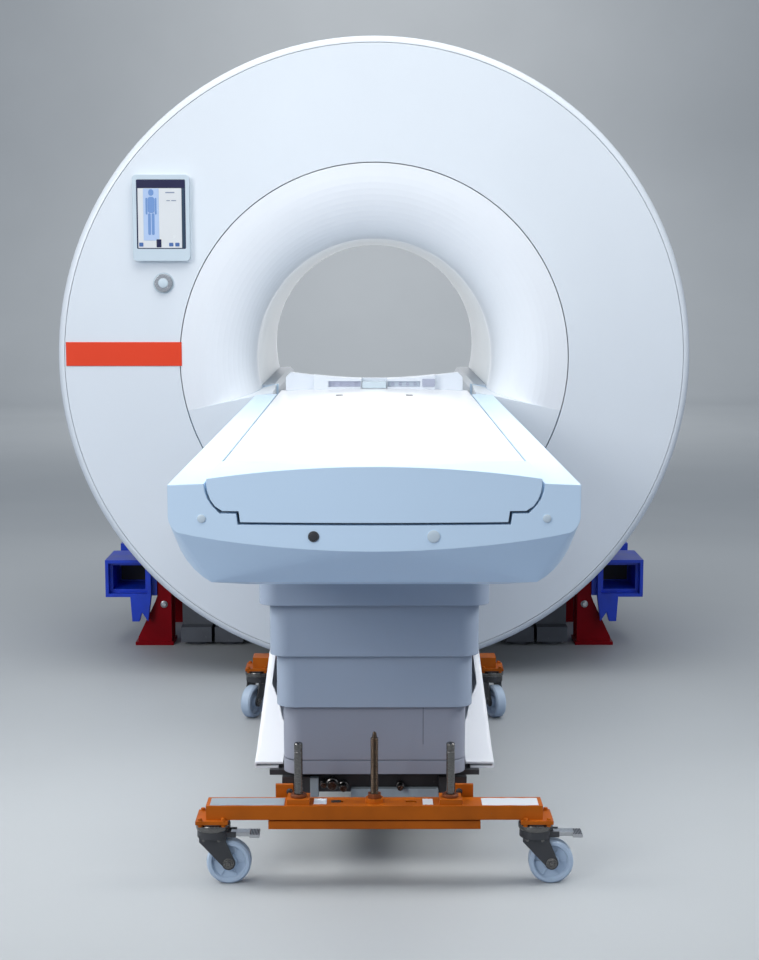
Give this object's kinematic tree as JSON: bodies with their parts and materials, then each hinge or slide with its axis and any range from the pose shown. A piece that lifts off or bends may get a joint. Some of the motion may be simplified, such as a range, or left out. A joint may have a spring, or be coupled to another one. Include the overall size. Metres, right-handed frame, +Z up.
{
  "type": "mri scanner",
  "caption": "Wide-bore MRI scanner with a flared round gantry and a lifting patient table set on orange castor trolleys for moving it into place.",
  "frame": {"origin": "centre of the overall box at floor level", "axes": "+X to the right seen from the table's foot end, +Y along the bore from the table into the magnet, +Z up"},
  "size_m": [2.1, 3.8301, 2.129],
  "materials": {
    "cover_white": "satin lacquered moulding",
    "cover_shade": "satin moulding",
    "table_white": "smooth white laminate",
    "column_grey": "fine textured moulding",
    "bright_steel": "machined",
    "dark_steel": "matt black paint",
    "vessel_steel": "welded and ground",
    "base_grey": "dull grey paint",
    "winding": "impregnated copper winding",
    "gradient_resin": "cast resin",
    "red_paint": "glossy paint",
    "blue_paint": "glossy paint",
    "orange_paint": "gloss paint with scuffs",
    "tag_orange": "plain film",
    "screen_glass": "display glass",
    "panel_plastic": "pale moulding",
    "nylon": "cast nylon",
    "rail_grey": "smooth moulding",
    "drive_grey": "grey paint"
  },
  "bodies": {
    "gantry": {"front_cover": "cover_white", "front_rim": "cover_white", "front_funnel": "cover_white", "front_lower_panel": "cover_shade", "rear_cover": "cover_white", "rear_funnel": "cover_white", "side_cover_left": "cover_white", "side_cover_right": "cover_white", "cover_frames": "vessel_steel", "bore_liner": "cover_shade", "bore_bridge": "cover_shade", "bore_rails": "rail_grey", "body_coil": "winding", "gradient_coil": "gradient_resin", "vessel_shell": "vessel_steel", "vessel_end": "vessel_steel", "coil_former": "vessel_steel", "main_coils": "winding", "shield_coils": "winding", "cold_head": "vessel_steel", "magnet_base": "base_grey", "red_feet": "red_paint", "jack_pockets": "blue_paint", "display_housing": "panel_plastic", "display_glass": "screen_glass", "side_tag": "tag_orange", "column_base_cover": "column_grey", "flank_covers": "cover_white", "lift_outer_tubes": "bright_steel", "base_frame": "dark_steel", "trolley_brackets": "orange_paint", "trolley_rods": "bright_steel"},
    "dial": {"dial_ring": "bright_steel"},
    "push_button": {"dial_button": "panel_plastic"},
    "middle_tier": {"column_tier_middle": "column_grey", "lift_lower_tubes": "bright_steel"},
    "upper_tier": {"column_tier_upper": "column_grey", "lift_upper_tubes": "bright_steel"},
    "table": {"table_frame": "cover_shade", "guide_rails": "bright_steel", "linear_drive": "drive_grey", "front_caps": "panel_plastic", "column_collar": "column_grey", "lift_inner_tubes": "bright_steel"},
    "moving_top": {"tabletop": "table_white", "tabletop_end_cap": "cover_shade", "head_sockets": "cover_shade", "drive_carriage": "bright_steel"},
    "front_trolley": {"front_beam": "orange_paint"},
    "rear_trolley": {"rear_beam": "orange_paint"},
    "castor_1": {"castor_fork_1": "dark_steel"},
    "wheel_1": {"castor_wheel_1": "nylon"},
    "pedal_1": {"brake_pedal_1": "bright_steel"},
    "castor_2": {"castor_fork_2": "dark_steel"},
    "wheel_2": {"castor_wheel_2": "nylon"},
    "pedal_2": {"brake_pedal_2": "bright_steel"},
    "castor_3": {"castor_fork_3": "dark_steel"},
    "wheel_3": {"castor_wheel_3": "nylon"},
    "castor_4": {"castor_fork_4": "dark_steel"},
    "wheel_4": {"castor_wheel_4": "nylon"}
  },
  "joints": [
    {"name": "table_lift", "type": "slide", "parent": "gantry", "child": "table", "axis": [0, 0, 1], "range_m": [-0.3, 0]},
    {"name": "middle_tier_slide", "type": "slide", "parent": "gantry", "child": "middle_tier", "axis": [0, 0, 1], "range_m": [-0.1, 0]},
    {"name": "upper_tier_slide", "type": "slide", "parent": "gantry", "child": "upper_tier", "axis": [0, 0, 1], "range_m": [-0.2, 0]},
    {"name": "tabletop_slide", "type": "slide", "parent": "table", "child": "moving_top", "axis": [0, 1, 0], "range_m": [0, 1.6]},
    {"name": "front_trolley_lift", "type": "slide", "parent": "gantry", "child": "front_trolley", "axis": [0, 0, 1], "range_m": [0, 0.12]},
    {"name": "rear_trolley_lift", "type": "slide", "parent": "gantry", "child": "rear_trolley", "axis": [0, 0, 1], "range_m": [0, 0.12]},
    {"name": "dial_turn", "type": "hinge", "parent": "gantry", "child": "dial", "pos_m": [-0.694, 0.435, 1.331], "axis": [0, 1, 0], "continuous": true},
    {"name": "button_push", "type": "slide", "parent": "gantry", "child": "push_button", "axis": [0, 1, 0], "range_m": [0, 0.0025], "stiffness_N_per_m": 400},
    {"name": "castor_1_swivel", "type": "hinge", "parent": "front_trolley", "child": "castor_1", "pos_m": [-0.362, -1.427, 0.1], "axis": [0, 0, 1], "continuous": true},
    {"name": "wheel_1_roll", "type": "hinge", "parent": "castor_1", "child": "wheel_1", "pos_m": [-0.327, -1.427, 0.05], "axis": [0, 1, 0], "continuous": true},
    {"name": "pedal_1_press", "type": "hinge", "parent": "castor_1", "child": "pedal_1", "pos_m": [-0.316, -1.427, 0.114], "axis": [0, 1, 0], "range_deg": [0, 8]},
    {"name": "castor_2_swivel", "type": "hinge", "parent": "front_trolley", "child": "castor_2", "pos_m": [0.362, -1.427, 0.1], "axis": [0, 0, 1], "continuous": true},
    {"name": "wheel_2_roll", "type": "hinge", "parent": "castor_2", "child": "wheel_2", "pos_m": [0.397, -1.427, 0.05], "axis": [0, 1, 0], "continuous": true},
    {"name": "pedal_2_press", "type": "hinge", "parent": "castor_2", "child": "pedal_2", "pos_m": [0.408, -1.427, 0.114], "axis": [0, 1, 0], "range_deg": [0, 8]},
    {"name": "castor_3_swivel", "type": "hinge", "parent": "rear_trolley", "child": "castor_3", "pos_m": [-0.362, -0.027, 0.1], "axis": [0, 0, 1], "continuous": true},
    {"name": "wheel_3_roll", "type": "hinge", "parent": "castor_3", "child": "wheel_3", "pos_m": [-0.37679, -0.05872, 0.05], "axis": [0.9063, -0.4226, 0], "continuous": true},
    {"name": "castor_4_swivel", "type": "hinge", "parent": "rear_trolley", "child": "castor_4", "pos_m": [0.362, -0.027, 0.1], "axis": [0, 0, 1], "continuous": true},
    {"name": "wheel_4_roll", "type": "hinge", "parent": "castor_4", "child": "wheel_4", "pos_m": [0.37397, -0.05989, 0.05], "axis": [0.9397, 0.342, 0], "continuous": true}
  ],
  "couplings": [
    {"joint": "middle_tier_slide", "follows": "table_lift", "ratio": 0.33333},
    {"joint": "upper_tier_slide", "follows": "table_lift", "ratio": 0.66667}
  ]
}
